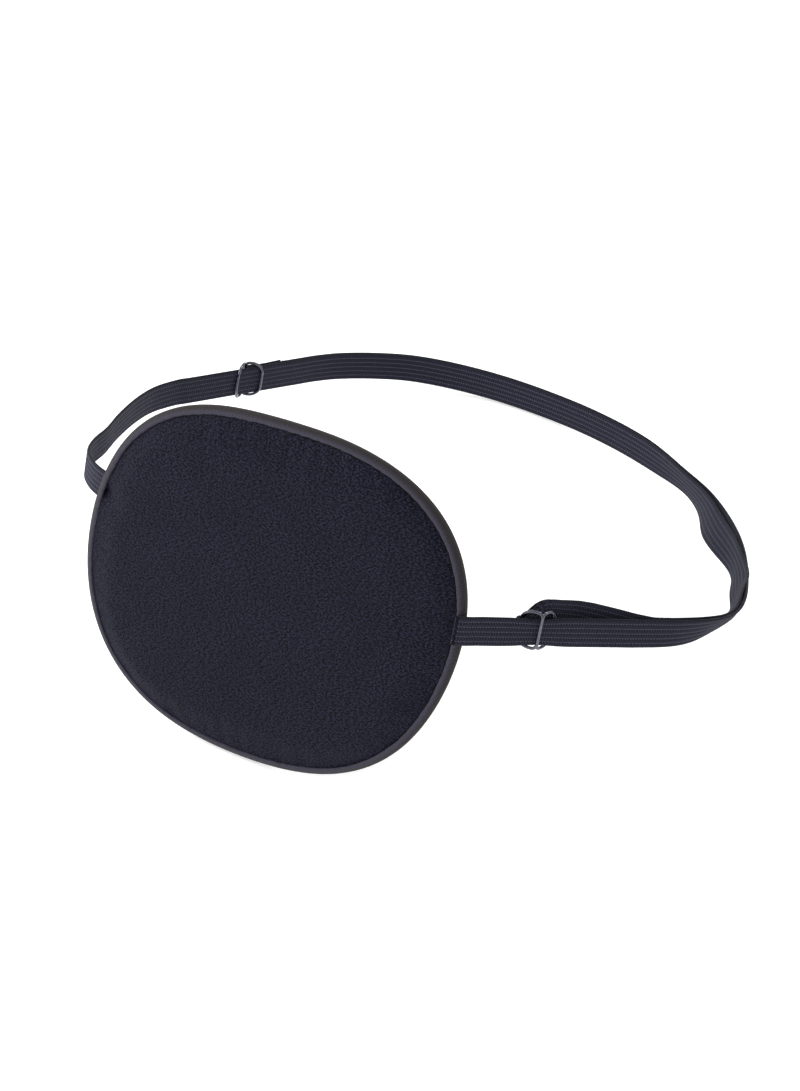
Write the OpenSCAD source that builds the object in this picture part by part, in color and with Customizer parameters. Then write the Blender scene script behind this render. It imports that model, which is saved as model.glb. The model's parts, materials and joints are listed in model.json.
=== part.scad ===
/* [Patch] */
// Average radius of the patch outline
patch_r = 50.9; // [49:0.1:52]
// How far the long axis stands out beyond the average radius
patch_stretch = 3.1; // [1:0.1:4]
// How far the four rounded corners stand out
patch_corners = 1.4; // [0:0.1:2]
// How far the one fuller corner stands out
patch_fuller = 0.8; // [0:0.1:2]
// Thickness of the rolled edge
edge_thick = 3.6; // [3:0.1:3.8]
// Height of the padded crown above the seam, front side
front_crown = 3.4; // [1:0.1:8]
// Thickness of the satin, the lining and the binding tape
cloth = 0.45; // [0.2:0.05:0.6]
// How far the binding tape laps over each face
binding_lap = 3.2; // [2.8:0.1:3.3]
// Distance between stitches along the binding
stitch_pitch = 3; // [2.5:0.5:6]

/* [Elastic] */
// Width of the ribbed elastic
strap_w = 8; // [6.5:0.5:8]
// Thickness of the ribbed elastic
strap_t = 0.8; // [0.6:0.05:0.8]
// Rubber strands inside the knitted elastic
strands = 5; // [3:1:5]
// Height of the elastic above the middle of the patch
strap_up = 10; // [4:1:14]
// Free space between two layers of elastic
layer_gap = 0.15; // [0.1:0.05:0.2]
// Length of each end that is folded back and sewn
fold_len = 15; // [13:1:15]

/* [Sliders] */
// Diameter of the slider wire
wire_d = 0.85; // [0.75:0.05:0.85]
// Distance between the middle bar and an outer bar
lobe_w = 5.2; // [5.2:0.1:5.4]
// Height of each slider lobe
slider_h = 10.6; // [10.6:0.1:12]
// How far each lobe is folded back from the middle bar, in degrees
lobe_fold = 32.5; // [32:0.5:33.5]
// Place of the left slider along its straight stretch
left_at = 0; // [-15:1:10]
// Place of the right slider along its straight stretch
right_at = 0; // [-8:1:6]

/* [Lying on a table] */
// How far the worn shape is laid back on the table, in degrees
lie_back = 20; // [18:0.5:25]

/* [Hidden] */

// The worn shape has X across the face, Y to the back of the head and Z up, from the
// middle of the patch edge. It is laid back about X, and this shift then puts the
// origin on the table at the middle of the footprint.
shift = [-14.8, -63.5, 45.2];

wire_r = wire_d / 2;
half_edge = edge_thick / 2;
half_t = strap_t / 2;
slip = 0.12;      // free space between a wire and the elastic that runs past it
snug = 0.05;      // free space between pieces that are sewn or folded together
pair = strap_t + layer_gap;

// Patch outline: a circle with two, three and four soft swellings
rim_steps = 72;
rim_inset = 1.6;  // the panels end this far inside the rolled edge
function rim(a) = patch_r + patch_stretch * cos(2 * (a - 15))
    + patch_fuller * cos(3 * (a - 35)) + patch_corners * cos(4 * (a - 43));
function rim_point(a, inset, y) = let (r = rim(a) - inset) [r * cos(a), y, r * sin(a)];
function total(v, i = 0) = i == len(v) ? 0 : v[i] + total(v, i + 1);
rim_length = total([for (i = [1 : rim_steps])
    norm(rim_point(i * 360 / rim_steps, 0, 0) - rim_point((i - 1) * 360 / rim_steps, 0, 0))]);

// Straight stretches that the sliders run on: the middle, and the direction away
// from the patch
left_mid = [-60, 92];
left_dir = 68;
right_mid = [66.6, 11.9];
right_dir = 43;
function along(mid, dir, s) = mid + s * [cos(dir), sin(dir)];

// Route of the head loop, seen from above, from the left edge round to the right edge
left_start = [[-47.2, 2.35], [-51.5, 2.6], [-57, 5.4], [-62, 10.6], [-64.6, 17.5],
              [-66, 26], [-68.8, 37], [-70.9, 49], [-71.4, 59]];
left_marks = [-26, -21, -14, -7, 0, 7, 14, 20, 26];
back = [[-46.2, 123.5], [-39.2, 132], [-30.5, 139.5], [-19, 144.5], [-5, 147.3],
        [10, 147.5], [26, 145.3], [42, 140], [56.5, 131.8], [69, 121.3],
        [79.7, 109], [88.5, 96], [95.3, 82], [99.8, 68], [100.8, 56], [98.4, 46],
        [93.8, 38]];
right_marks = [27, 21, 14, 7, 0, -7, -13, -15.5];
right_start = [[53.4, -0.6], [51.3, -2.3], [49.2, -2.35]];

// A point of the smooth curve that runs from p1 to p2
function curve(p0, p1, p2, p3, t) = 0.5 * (2 * p1 + (p2 - p0) * t
    + (2 * p0 - 5 * p1 + 4 * p2 - p3) * t * t + (3 * p1 - p0 - 3 * p2 + p3) * t * t * t);
steps = 4;        // points of the curve for each point of the route
function smooth(p) = let (n = len(p) - 1)
    [for (i = [0 : n - 1], j = [0 : steps - 1])
        curve(p[max(i - 1, 0)], p[i], p[i + 1], p[min(i + 2, n)], j / steps),
     p[n]];
line = smooth(concat(left_start, [for (s = left_marks) along(left_mid, left_dir, s)], back,
                     [for (s = right_marks) along(right_mid, right_dir, s)], right_start));

// Where pieces begin and end, as numbers of the line's points
left_zero = steps * (len(left_start) + search(0, left_marks)[0]);
right_zero = steps * (len(left_start) + len(left_marks) + len(back) + search(0, right_marks)[0]);
left_fold = left_zero + 2 * steps + 1;
left_slack = left_zero + 8 * steps;
right_fold = right_zero - 2 * steps;
right_slack = right_zero - 6 * steps;
last = len(line) - 1;

// Centre line moved sideways by off(i), outward from the head
function unit(v) = v / norm(v);
function side(p, i) = let (t = unit(p[min(i + 1, len(p) - 1)] - p[max(i - 1, 0)])) [-t[1], t[0]];
function moved(from, to, off) = [for (i = [from : to]) line[i] + side(line, i) * off(i)];

// The two layers lie a pair apart: the right strap starts outside the left one at the
// left slider, and the left strap ends inside the right one at the right slider, where
// it bulges inward before it turns round the wire.
function share(i) = min(max((i - left_zero) / (right_zero - left_zero), 0), 1);
bulge_high = 3;
bulge_len = 7 * steps;
function bulge(i) = let (u = (right_zero - steps - i) / bulge_len)
    bulge_high * (0.5 + 0.5 * cos(180 * min(max(u, 0), 1)));
left_off = function (i) -pair * share(i) - bulge(i);
right_off = function (i) pair * (1 - share(i));

module lay() {
    translate(shift) rotate([-lie_back, 0, 0]) children();
}
module at_left() {
    translate([left_mid[0], left_mid[1], strap_up]) rotate(left_dir)
        translate([left_at, 0, 0]) children();
}
// Mirrored, so that +Y is outward from the head at both sliders
module at_right() {
    translate([right_mid[0], right_mid[1], strap_up]) rotate(right_dir) mirror([0, 1, 0])
        translate([right_at, 0, 0]) children();
}

// A closed round pad: rings of [size, y] between a front and a back middle point
module pad(front_y, rings, back_y) {
    m = len(rings);
    dot = function (k, y, a) let (r = k * (rim(a) - rim_inset)) [r * cos(a), y, r * sin(a)];
    points = concat([[0, front_y, 0]],
        [for (q = rings, i = [0 : rim_steps - 1]) dot(q[0], q[1], i * 360 / rim_steps)],
        [[0, back_y, 0]]);
    at = function (j, i) 1 + j * rim_steps + i % rim_steps;
    faces = concat(
        [for (i = [0 : rim_steps - 1]) [0, at(0, i), at(0, i + 1)]],
        [for (j = [0 : m - 2], i = [0 : rim_steps - 1])
            [at(j, i), at(j + 1, i), at(j + 1, i + 1), at(j, i + 1)]],
        [for (i = [0 : rim_steps - 1]) [at(m - 1, i + 1), at(m - 1, i), len(points) - 1]]);
    polyhedron(points, faces, convexity = 4);
}

// The crown rises from the seam to the middle
crown_sizes = [0.2, 0.4, 0.58, 0.73, 0.84, 0.91, 0.947];
seam = 0.955;     // size of the pad at the foot of the crown, beside the binding
panel_y = half_edge - cloth - snug;   // outer face of the panels inside the binding
core_y = panel_y - cloth;
function crown(k) = front_crown * sqrt(max(0, 1 - pow(k / seam, 2.4)));
function front_skin(grow) = [for (k = concat(crown_sizes, seam)) [k, -core_y - grow - crown(k)]];
function reversed(v) = [for (i = [len(v) - 1 : -1 : 0]) v[i]];
flat_size = 0.5;  // the middle of the flat eye side, out to half the patch size

module front_panel() {
    color("#292933") pad(-core_y - cloth - front_crown,
        concat(front_skin(cloth), [[1, -panel_y], [1, -core_y - snug]], reversed(front_skin(snug))),
        -core_y - snug - front_crown);
}
module padding() {
    color("#3a3a40") pad(-core_y - front_crown,
        concat(front_skin(0), [[1, -core_y], [1, core_y], [flat_size, core_y]]), core_y);
}
module back_panel() {
    inner_y = core_y + snug;
    color("#24242b")
        pad(inner_y, [[flat_size, inner_y], [1, inner_y], [1, panel_y], [flat_size, panel_y]], panel_y);
}

// Tape folded round the edge: a rolled outside and two laps that hold the panels
module edge_binding() {
    roll = [for (i = [0 : 8]) 90 + i * 22.5];
    in_r = half_edge - cloth;
    outer = [for (a = roll) [half_edge + half_edge * cos(a), half_edge * sin(a)]];
    inner = [for (a = reversed(roll)) [half_edge + in_r * cos(a), in_r * sin(a)]];
    ring = concat([[binding_lap, half_edge]], outer,
                  [[binding_lap, -half_edge], [binding_lap, -in_r]], inner, [[binding_lap, in_r]]);
    m = len(ring);
    n = rim_steps;
    points = [for (i = [0 : n - 1], q = ring) rim_point(i * 360 / n, q[0], q[1])];
    faces = [for (i = [0 : n - 1], j = [0 : m - 1]) let (next = ((i + 1) % n) * m, k = (j + 1) % m)
        [i * m + j, i * m + k, next + k, next + j]];
    color("#4a4749") polyhedron(points, faces, convexity = 6);
}

// Short straight stitches in the ditch beside each lap, with gaps for the straps
module binding_stitches() {
    thread = 0.24;
    beside = 0.12;    // free space between a stitch and the lap
    inset = binding_lap + thread / 2 + beside;
    count = floor(rim_length / stitch_pitch);
    level = panel_y + thread / 2 + snug;
    clear = strap_w / 2 + 1;
    color("#1a1a1e") for (i = [0 : count - 1], y = [-level, level]) {
        a = i * 360 / count;
        p = rim_point(a, inset, y);
        q = rim_point(a + 1, inset, y);
        under_strap = abs(p[2] - strap_up) < clear && p[0] * y < 0;
        if (!under_strap)
            translate(p) rotate([0, -atan2(q[2] - p[2], q[0] - p[0]), 0]) rotate([0, 90, 0])
                cylinder(h = stitch_pitch * 0.65, d = thread, center = true, $fn = 16);
    }
}

// A flat band that stands on edge along a line of points
module band(p, t, w) {
    n = len(p) - 1;
    linear_extrude(w, center = true) polygon(concat(
        [for (i = [0 : n]) p[i] + side(p, i) * t / 2],
        [for (i = [n : -1 : 0]) p[i] - side(p, i) * t / 2]));
}
// Rubber strands side by side inside a band, and the knitted cover round them
strand_t = 0.4;
strand_w = 0.8;
module rubber(p) {
    pitch = strap_w / (strands + 0.5);
    for (i = [0 : strands - 1]) translate([0, 0, (i - (strands - 1) / 2) * pitch])
        band(p, strand_t, strand_w);
}
module elastic(p) {
    difference() {
        band(p, strap_t, strap_w);
        rubber(p);
    }
}
left_path = moved(0, right_slack, left_off);
right_path = moved(left_slack, last, right_off);

module strap_left() {
    color("#27272f") translate([0, 0, strap_up]) elastic(left_path);
}
module strap_right() {
    color("#2b2b34") translate([0, 0, strap_up]) elastic(right_path);
}
module strap_left_rubber() {
    color("#8a8272") translate([0, 0, strap_up]) rubber(left_path);
}
module strap_right_rubber() {
    color("#8a8272") translate([0, 0, strap_up]) rubber(right_path);
}
module strap_left_take_up() {
    color("#27272f") translate([0, 0, strap_up])
        band(moved(right_slack, right_fold, left_off), strap_t, strap_w);
}
module strap_right_take_up() {
    color("#2b2b34") translate([0, 0, strap_up])
        band(moved(left_fold, left_slack, right_off), strap_t, strap_w);
}

// Bar tacks: strands of thread across the elastic
tack_d = 0.3;
module tack(len) {
    pitch = 0.5;
    for (i = [-1.5 : 1.5]) translate([i * pitch, 0, 0])
        cylinder(h = len, d = tack_d, center = true, $fn = 16);
}
module left_patch_tack() {
    color("#141418") translate([-49.2, 3.2, strap_up]) tack(strap_w - 1);
}
module right_patch_tack() {
    color("#141418") translate([50.1, -3, strap_up]) tack(strap_w - 1);
}

// One lobe of round wire: an outer bar, two cross wires and four rounded corners
module lobe() {
    corner = 1.18;    // radius of the corners, to the centre of the wire
    apart = 0.05;     // the two lobes leave the middle bar this far from its centre
    top = slider_h / 2 - wire_r;
    straight = top - corner;
    rotate(-lobe_fold) {
        translate([lobe_w, 0, 0]) cylinder(h = 2 * straight, r = wire_r, center = true, $fn = 32);
        for (z = [-top, top]) translate([apart + corner, 0, z]) rotate([0, 90, 0])
            cylinder(h = lobe_w - apart - 2 * corner, r = wire_r, $fn = 32);
        for (q = [[lobe_w - corner, straight, 0], [apart + corner, straight, 90],
                  [apart + corner, -straight, 180], [lobe_w - corner, -straight, 270]])
            translate([q[0], 0, q[1]]) rotate([90, 0, 0]) rotate(q[2])
                rotate_extrude(angle = 90, $fn = 64) translate([corner, 0]) circle(wire_r, $fn = 32);
    }
}
// Two lobes side by side on one middle bar, which stands furthest out
module slider() {
    lobe();
    mirror([1, 0, 0]) lobe();
    cylinder(h = slider_h - 3 * wire_d, r = wire_r, center = true, $fn = 32);
}
bend_r = wire_r + snug + half_t;       // elastic turned round a wire, to its centre
lobe_in = lobe_w * sin(lobe_fold);
lobe_x = lobe_w * cos(lobe_fold);
left_bar_y = pair + bend_r;            // middle bar of the left slider
right_bar_y = half_t + slip + wire_r;  // middle bar of the right slider
outer_bar_y = right_bar_y - lobe_in;   // outer bars of the right slider
module slider_left() {
    color("#6f7078") at_left() translate([0, left_bar_y, 0]) slider();
}
module slider_right() {
    color("#6f7078") at_right() translate([0, right_bar_y, 0]) slider();
}

// An end of elastic that comes in, turns round a wire and goes back to its tail
fold_w = 7;       // the elastic is squeezed narrower where it turns round a wire
function turn(x, y, from, to) = [for (i = [0 : 8]) let (a = from + (to - from) * i / 8)
    [x + bend_r * cos(a), y + bend_r * sin(a)]];
module strap_right_loop_end() {
    tail_y = 2 * pair;
    color("#2b2b34") at_left() band(concat([[fold_len, pair], [6, pair]],
        turn(0, left_bar_y, 270, 90), [[3, left_bar_y + bend_r - 0.1], [8, tail_y + 0.1],
        [fold_len - 2, tail_y]]), strap_t, fold_w);
}
module strap_left_loop_end() {
    near_y = outer_bar_y - bend_r;
    tail_y = near_y - pair;
    color("#27272f") at_right() band(concat([[fold_len - 1.1, near_y - 1.08], [lobe_x, near_y]],
        turn(-lobe_x, outer_bar_y, 90, 270), [[lobe_x, tail_y], [fold_len - 4, tail_y - 1]]),
        strap_t, fold_w);
}
module left_loop_tack() {
    color("#141418") at_left() translate([9.5, 2 * pair + half_t + tack_d / 2 + slip + snug, 0])
        tack(fold_w - 1);
}
module right_loop_tack() {
    color("#141418") at_right() translate([9, outer_bar_y - bend_r - pair - 1.6, 0])
        tack(fold_w - 1);
}

lay() front_panel();
lay() padding();
lay() back_panel();
lay() edge_binding();
lay() binding_stitches();
lay() strap_left();
lay() strap_right();
lay() strap_left_rubber();
lay() strap_right_rubber();
lay() strap_left_take_up();
lay() strap_right_take_up();
lay() left_patch_tack();
lay() right_patch_tack();
lay() slider_left();
lay() slider_right();
lay() strap_left_loop_end();
lay() strap_right_loop_end();
lay() left_loop_tack();
lay() right_loop_tack();
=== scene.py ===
# %% [markdown]
# # A padded eye patch on ribbed elastic
# The patch is a padded satin face and a soft lining, held together by a tape folded
# round the edge. Two elastic bands leave its sides, overlap round the head and are
# joined by two wire sliders. The measured model comes first, as a fixed frame, and
# each soft piece is then made in the place that its plain solid holds.

# %% Load the frame
import json
import math

import bpy
import numpy as np
from mathutils import Matrix, Vector, noise


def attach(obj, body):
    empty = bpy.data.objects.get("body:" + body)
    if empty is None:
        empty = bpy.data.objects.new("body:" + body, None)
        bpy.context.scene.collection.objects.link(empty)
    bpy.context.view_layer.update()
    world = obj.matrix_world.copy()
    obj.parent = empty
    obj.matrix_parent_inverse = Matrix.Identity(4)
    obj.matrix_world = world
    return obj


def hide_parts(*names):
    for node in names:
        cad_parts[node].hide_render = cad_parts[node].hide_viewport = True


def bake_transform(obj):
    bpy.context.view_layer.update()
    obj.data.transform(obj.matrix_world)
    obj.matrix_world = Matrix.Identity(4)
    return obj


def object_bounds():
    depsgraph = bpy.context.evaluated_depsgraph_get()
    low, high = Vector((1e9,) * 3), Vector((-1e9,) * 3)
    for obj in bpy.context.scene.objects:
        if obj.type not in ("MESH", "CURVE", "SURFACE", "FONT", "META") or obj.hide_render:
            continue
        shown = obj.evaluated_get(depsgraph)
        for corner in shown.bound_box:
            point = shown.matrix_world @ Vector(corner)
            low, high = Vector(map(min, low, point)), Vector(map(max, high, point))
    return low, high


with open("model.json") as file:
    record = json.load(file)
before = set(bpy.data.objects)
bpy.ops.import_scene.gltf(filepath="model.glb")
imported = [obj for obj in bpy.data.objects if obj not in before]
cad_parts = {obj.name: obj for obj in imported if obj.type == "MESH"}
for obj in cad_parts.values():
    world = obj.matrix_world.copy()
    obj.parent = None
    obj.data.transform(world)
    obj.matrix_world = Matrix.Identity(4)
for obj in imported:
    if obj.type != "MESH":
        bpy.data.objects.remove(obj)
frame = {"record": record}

cad_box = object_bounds()
scene = bpy.context.scene
print("box, mm:", [round(1000 * v, 1) for corner in cad_box for v in corner])

# %% [markdown]
# ## Worn axes
# The patch lies back on a table, but it is easier to shape it as worn: X across the
# face, Y to the back of the head and Z up. The two mounts of the frame hold those
# directions, so the worn axes follow the model. All sizes below are in millimetres
# and one function turns them into metres in the frame.

# %% Worn axes
MM = 0.001
mounts = {m["name"]: m for m in frame["record"]["mounts"]}
to_back = Vector(mounts["eye_side"]["axis"])
to_top = Vector(mounts["head_loop"]["axis"])
lining_y = 1.3          # the lining's face, behind the middle of the edge
patch_middle = Vector(mounts["eye_side"]["pos_m"]) - to_back * lining_y * MM
worn_axes = np.array([(1, 0, 0), to_back, to_top])


def worn(points):
    """Millimetres in the worn axes, as metres in the frame."""
    return np.array(patch_middle) + np.atleast_2d(points) @ worn_axes * MM


print("middle of the patch, mm:", [round(v / MM, 1) for v in patch_middle])

# %% [markdown]
# ## Camera
# A small thing is best seen from a distance with a long lens, which keeps the near and
# far side of the loop at nearly the same scale. The camera looks down on the patch from
# its right, and it is turned a little about its own axis.

# %% Camera
aim = Vector((-2.2, -17.8, 28.6)) * MM
distance = 673.7 * MM
azimuth, elevation, roll = (math.radians(v) for v in (27.32, 43.67, 0.97))
towards_camera = Vector((math.sin(azimuth) * math.cos(elevation),
                         -math.cos(azimuth) * math.cos(elevation),
                         math.sin(elevation)))
camera = bpy.data.objects.new("camera", bpy.data.cameras.new("camera"))
camera.data.lens = 84.72
camera.data.clip_start, camera.data.clip_end = 0.01, 20
level = towards_camera.to_track_quat("Z", "Y").to_matrix().to_4x4()
turned = Matrix.Rotation(roll, 4, towards_camera) @ level
camera.matrix_world = Matrix.Translation(aim + towards_camera * distance) @ turned
scene.collection.objects.link(camera)
scene.camera = camera
print("camera at, mm:", [round(v / MM) for v in camera.matrix_world.translation])

# %% [markdown]
# ## Table and light
# Dark cloth on a white table is lit broadly, so that the table burns out to white and
# the cloth still shows its grain. A white world does most of it, and the table glows a
# little by itself, as a light table does. One large soft lamp on the left gives the
# cloth its gentle shading, and a smaller one behind draws the bright lines on the wire
# of the sliders.

# %% Table and light
scene.view_settings.view_transform = "Standard"
scene.world = bpy.data.worlds.new("studio")
scene.world.use_nodes = True
scene.world.node_tree.nodes["Background"].inputs["Color"].default_value = (1, 1, 1, 1)
scene.world.node_tree.nodes["Background"].inputs["Strength"].default_value = 0.9


def lamp(name, place, size, power):
    """A square soft lamp that looks at the aim of the camera."""
    made = bpy.data.objects.new(name, bpy.data.lights.new(name, "AREA"))
    made.data.size = size
    made.data.energy = power
    made.location = place
    made.rotation_euler = (aim - Vector(place)).to_track_quat("-Z", "Y").to_euler()
    scene.collection.objects.link(made)
    return made


lamp("soft_box_left", (-0.8, -0.4, 0.5), 0.7, 9)
lamp("strip_behind", (0.25, 0.6, 0.7), 0.15, 3)

# %% [markdown]
# ## Tools for materials
# Colours are written as sRGB hex, as a colour picker shows them, and one function
# turns them into the linear numbers that shaders use. Another adds a node: its
# settings are properties, and its values are sockets, given as numbers or linked from
# other nodes. Every cloth piece carries an attribute named cloth, each point's place
# on the flat fabric in millimetres, so that a weave keeps its true size on a bend.

# %% Tools for materials
def linear(code):
    """An sRGB hex colour as linear red, green, blue and a full alpha."""
    parts = [int(code[i:i + 2], 16) / 255 for i in (1, 3, 5)]
    return [c / 12.92 if c <= 0.04045 else ((c + 0.055) / 1.055) ** 2.4 for c in parts] + [1]


def add(material, kind, values, **settings):
    """Adds a node with its settings and its values, which may be other nodes' outputs."""
    made = material.node_tree.nodes.new("ShaderNode" + kind)
    for name, value in settings.items():
        setattr(made, name, value)
    for name, value in values.items():
        if isinstance(value, bpy.types.NodeSocket):
            material.node_tree.links.new(value, made.inputs[name])
        else:
            made.inputs[name].default_value = value
    return made.outputs


def material_of(name, **values):
    """A material with one Principled shader, and that shader's plain values."""
    made = bpy.data.materials.new(name)
    made.use_nodes = True
    shader = made.node_tree.nodes["Principled BSDF"]
    for socket, value in values.items():
        shader.inputs[socket.replace("_", " ")].default_value = value
    return made, shader.inputs


def finish_with(material, sockets, colour, height, relief, roughness=None):
    """Links a colour, and a height as relief of that many millimetres, to the shader."""
    bump = add(material, "Bump", {"Height": height, "Distance": relief * MM, "Strength": 1.0})
    material.node_tree.links.new(colour, sockets["Base Color"])
    material.node_tree.links.new(bump["Normal"], sockets["Normal"])
    if roughness is not None:
        material.node_tree.links.new(roughness, sockets["Roughness"])


def flat_place(material):
    """The cloth attribute as across and along numbers in millimetres."""
    place = add(material, "Attribute", {}, attribute_name="cloth")["Vector"]
    return place, add(material, "SeparateXYZ", {"Vector": place})


# %% [markdown]
# ## Satin
# The face is a polyester satin: long floats of fine filament yarn lie side by side on
# the surface, held by few crossings. That gives a soft matt sheen with a slanting
# grain and no sharp highlight, so the specular level is low, the roughness is high
# and a little sheen lifts the edges. Real floats are finer than would show, so a noise
# with grains about 0.6 mm across stands for them.

# %% Satin
satin, sockets = material_of("satin", Roughness=0.62, IOR=1.45, Specular_IOR_Level=0.06,
                             Sheen_Weight=0.02, Sheen_Roughness=0.45)
place, _ = flat_place(satin)
slanted = add(satin, "Mapping", {"Vector": place, "Rotation": (0, 0, math.radians(38)),
                                 "Scale": (1.0, 1.7, 1.0)})["Vector"]
floats = add(satin, "TexNoise", {"Vector": slanted, "Scale": 1.55, "Detail": 3.0,
                                 "Roughness": 0.7})["Fac"]
crinkle = add(satin, "TexNoise", {"Vector": place, "Scale": 0.08, "Detail": 3.0})["Fac"]
grain = add(satin, "MapRange", {"Value": floats, "From Min": 0.44, "From Max": 0.58})["Result"]
shade = add(satin, "MapRange", {"Value": crinkle, "From Min": 0.3, "From Max": 0.7,
                                "To Min": 0.85, "To Max": 1.1})["Result"]
blend = add(satin, "Math", {0: grain, 1: shade}, operation="MULTIPLY")["Value"]
colour = add(satin, "Mix", {0: blend, 6: linear("#06060b"), 7: linear("#28283a")},
             data_type="RGBA")[2]
finish_with(satin, sockets, colour, grain, 0.08)

# %% [markdown]
# ## Lining
# The side that touches the skin is a brushed cotton: short fibres stand up from it and
# catch light at grazing angles, which the sheen of the shader stands for. Its plain
# weave is drawn with a pitch of 0.6 mm.

# %% Lining
lining, sockets = material_of("brushed_cotton", Roughness=0.9, Specular_IOR_Level=0.1,
                              Sheen_Weight=0.12, Sheen_Roughness=0.6)
place, parts = flat_place(lining)
thread_pitch = 0.6
weave = [add(lining, "Math", {0: add(lining, "Math", {0: parts[axis], 1: 2 * math.pi / thread_pitch},
                                     operation="MULTIPLY")["Value"]}, operation="SINE")["Value"]
         for axis in ("X", "Y")]
woven = add(lining, "Math", {0: weave[0], 1: weave[1]}, operation="MULTIPLY")["Value"]
fuzz = add(lining, "TexNoise", {"Vector": place, "Scale": 1.4, "Detail": 4.0})["Fac"]
height = add(lining, "Math", {0: woven, 1: 0.25, 2: fuzz}, operation="MULTIPLY_ADD")["Value"]
colour = add(lining, "Mix", {0: height, 6: linear("#15151b"), 7: linear("#2b2b33")},
             data_type="RGBA")[2]
finish_with(lining, sockets, colour, height, 0.12)

# %% [markdown]
# ## Binding tape
# The edge is bound with a folded bias tape. Its fine ribs run across the fold and are
# drawn 0.4 mm apart. Where the tape rolls round the edge its colour is darker and
# browner: painted shade on the side that turns away from the light, with a browner
# tone. The lap beside the seam is paler.

# %% Binding tape
tape, sockets = material_of("bias_tape", Roughness=0.75, Specular_IOR_Level=0.15,
                            Sheen_Weight=0.06, Sheen_Roughness=0.5)
place, parts = flat_place(tape)
rib_pitch = 0.4
rib = add(tape, "Math", {0: add(tape, "Math", {0: parts["X"], 1: 2 * math.pi / rib_pitch},
                                operation="MULTIPLY")["Value"]}, operation="SINE")["Value"]
rolled = add(tape, "MapRange", {"Value": parts["Y"], "From Min": 2.1, "From Max": 3.9},
             interpolation_type="SMOOTHSTEP")["Result"]
strong = add(tape, "MapRange", {"Value": rolled, "To Min": 0.3, "To Max": 0.6})["Result"]
ribs = add(tape, "Math", {0: rib, 1: strong}, operation="MULTIPLY")["Value"]
fibres = add(tape, "TexNoise", {"Vector": place, "Scale": 1.6, "Detail": 3.0})["Fac"]
relief = add(tape, "Math", {0: ribs, 1: fibres}, operation="ADD")["Value"]
# The roll is painted darker and browner than the lap: painted shade on the turned side, with a
# browner tone.
tone_and_roll_shade = add(tape, "Mix", {0: rolled, 6: linear("#383641"), 7: linear("#272324")},
           data_type="RGBA")[2]
lit = add(tape, "MapRange", {"Value": relief, "From Min": 0.0, "From Max": 1.0,
                             "To Min": 0.5, "To Max": 1.4})["Result"]
colour = add(tape, "VectorMath", {0: tone_and_roll_shade, "Scale": lit}, operation="SCALE")["Vector"]
finish_with(tape, sockets, colour, relief, 0.06)

# %% [markdown]
# ## Ribbed elastic
# Elastic is knitted from black yarn round strands of rubber. Each strand makes a rib
# along the band, and the stitches slant to and fro across it. The ribs are real shape
# below. The material adds the slanting stitches, the paler yarn between ribs, and a
# painted shade along both edges, where the band's thin sides are in shadow.
# A stitch is drawn 0.7 mm long, which is coarser than a real knit.

# %% Ribbed elastic
BAND_WIDTH = 8.0
BAND_THICK = 0.8
RIBS = 6
elastic, sockets = material_of("ribbed_elastic", Roughness=0.8, Specular_IOR_Level=0.1,
                               Sheen_Weight=0.04, Sheen_Roughness=0.5)
place, parts = flat_place(elastic)
rib_width = BAND_WIDTH / RIBS
stitch_pitch = 0.7
shifted = add(elastic, "Math", {0: parts["Y"], 1: BAND_WIDTH / 2}, operation="ADD")["Value"]
crest = add(elastic, "Math", {0: shifted, 1: rib_width / 2}, operation="PINGPONG")["Value"]
crest = add(elastic, "Math", {0: crest, 1: rib_width / 2}, operation="DIVIDE")["Value"]
slant = add(elastic, "Math", {0: crest, 1: 3.0}, operation="MULTIPLY")["Value"]
uneven = add(elastic, "TexNoise", {"Vector": place, "Scale": 0.7, "Detail": 3.0})["Fac"]
slant = add(elastic, "Math", {0: uneven, 1: 7.0, 2: slant}, operation="MULTIPLY_ADD")["Value"]
phase = add(elastic, "Math", {0: parts["X"], 1: 2 * math.pi / stitch_pitch, 2: slant},
            operation="MULTIPLY_ADD")["Value"]
stitch = add(elastic, "Math", {0: phase}, operation="SINE")["Value"]
wear = add(elastic, "TexNoise", {"Vector": place, "Scale": 1.6, "Detail": 3.0})["Fac"]
knit = add(elastic, "MapRange", {"Value": stitch, "From Min": -1.0, "From Max": 1.0,
                                 "To Min": 0.0, "To Max": 0.75})["Result"]
knit = add(elastic, "Math", {0: wear, 1: 0.5, 2: knit}, operation="MULTIPLY_ADD")["Value"]
gap = add(elastic, "MapRange", {"Value": crest, "From Min": 0.0, "From Max": 0.22,
                                "To Min": 1.0, "To Max": 0.0})["Result"]
yarn = add(elastic, "Mix", {0: knit, 6: linear("#040407"), 7: linear("#2a2a39")},
           data_type="RGBA")[2]
gap = add(elastic, "Math", {0: gap, 1: knit}, operation="MULTIPLY")["Value"]
colour = add(elastic, "Mix", {0: gap, 6: yarn, 7: linear("#5c5c6c")}, data_type="RGBA")[2]
# Both edges of the band are painted darker, to a quarter at the rim: painted shade on the band's
# thin sides.
across = add(elastic, "Math", {0: parts["Y"]}, operation="ABSOLUTE")["Value"]
edge = add(elastic, "MapRange", {"Value": across, "From Min": BAND_WIDTH / 2 - 0.5,
                                 "From Max": BAND_WIDTH / 2, "To Min": 1.0, "To Max": 0.25})
colour = add(elastic, "VectorMath", {0: colour, "Scale": edge["Result"]},
             operation="SCALE")["Vector"]
finish_with(elastic, sockets, colour, knit, 0.1)

# %% [markdown]
# ## Thread and wire
# Sewing thread is two or three plies twisted together. The plies are too fine to show,
# so its shade only shifts from dark to darker every 3 mm or so. The sliders are bent
# steel wire with a gloss gunmetal coating: a dark metal with a low roughness, which
# shows as bright lines on dark wire. A faint noise in the colour and the roughness
# keeps the lines from looking machine-made.

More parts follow.
